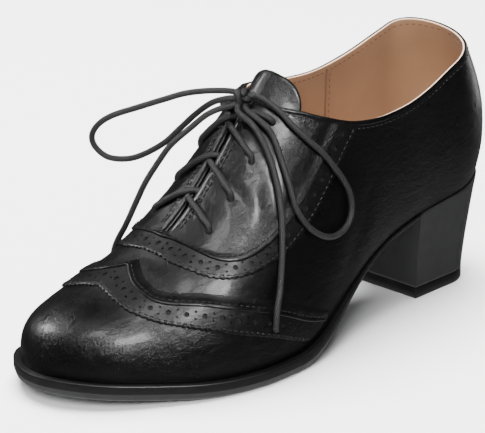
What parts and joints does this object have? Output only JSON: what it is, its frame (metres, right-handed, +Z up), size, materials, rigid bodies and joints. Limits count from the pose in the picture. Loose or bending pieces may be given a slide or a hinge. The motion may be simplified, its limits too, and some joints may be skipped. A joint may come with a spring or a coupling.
{
  "type": "heeled oxford shoe",
  "caption": "Women's left lace-up oxford with a block heel, perforated bands over toe and throat, and a bow of round laces.",
  "frame": {"origin": "middle of the heel's resting face, on the floor", "axes": "+Z up, -X to the toe, -Y to the outer side of the foot"},
  "size_m": [0.2459, 0.0972, 0.1152],
  "materials": {
    "black_leather": "glossy, finely wrinkled",
    "beige_lining": "matte",
    "black_rubber": "satin",
    "heel_cover": "satin",
    "black_lace": "waxed, finely woven"
  },
  "bodies": {
    "root": {"upper": "black_leather", "wing_band": "black_leather", "throat_band": "black_leather", "lace_stay": "black_leather", "tongue": "black_leather", "insole": "beige_lining", "outsole": "black_rubber", "heel_block": "heel_cover", "heel_top_piece": "black_rubber", "lace_crossing_1": "black_lace", "lace_crossing_2": "black_lace", "lace_crossing_3": "black_lace", "lace_knot": "black_lace", "lace_loop_outer": "black_lace", "lace_end_outer": "black_lace", "lace_loop_inner": "black_lace", "lace_end_inner": "black_lace"}
  },
  "joints": []
}
